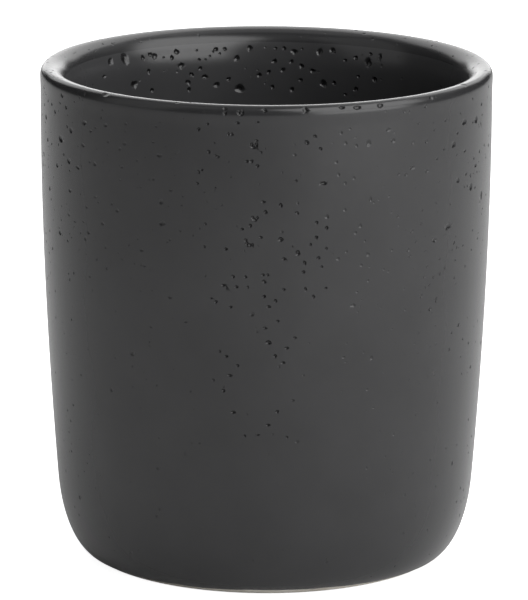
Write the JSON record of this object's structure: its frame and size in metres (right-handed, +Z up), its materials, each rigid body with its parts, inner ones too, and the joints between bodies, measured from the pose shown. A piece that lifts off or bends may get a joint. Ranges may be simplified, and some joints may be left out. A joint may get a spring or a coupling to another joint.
{
  "type": "porcelain beaker",
  "caption": "Round handleless drinking beaker with a rounded lip, a soft bottom corner and a low foot ring, in pitted satin charcoal glaze.",
  "frame": {"origin": "centre of the foot ring, on the surface that the beaker stands on", "axes": "+Z up along the beaker's axis of rotation, towards the mouth; +X and +Y are any two square directions across it"},
  "size_m": [0.0802, 0.0802, 0.0884],
  "materials": {
    "bare_porcelain": "matte",
    "charcoal_glaze": "satin",
    "liner_glaze": "satin"
  },
  "bodies": {
    "root": {"porcelain_body": "bare_porcelain", "outer_glaze": "charcoal_glaze", "inner_glaze": "liner_glaze", "base_glaze": "charcoal_glaze"}
  },
  "joints": []
}
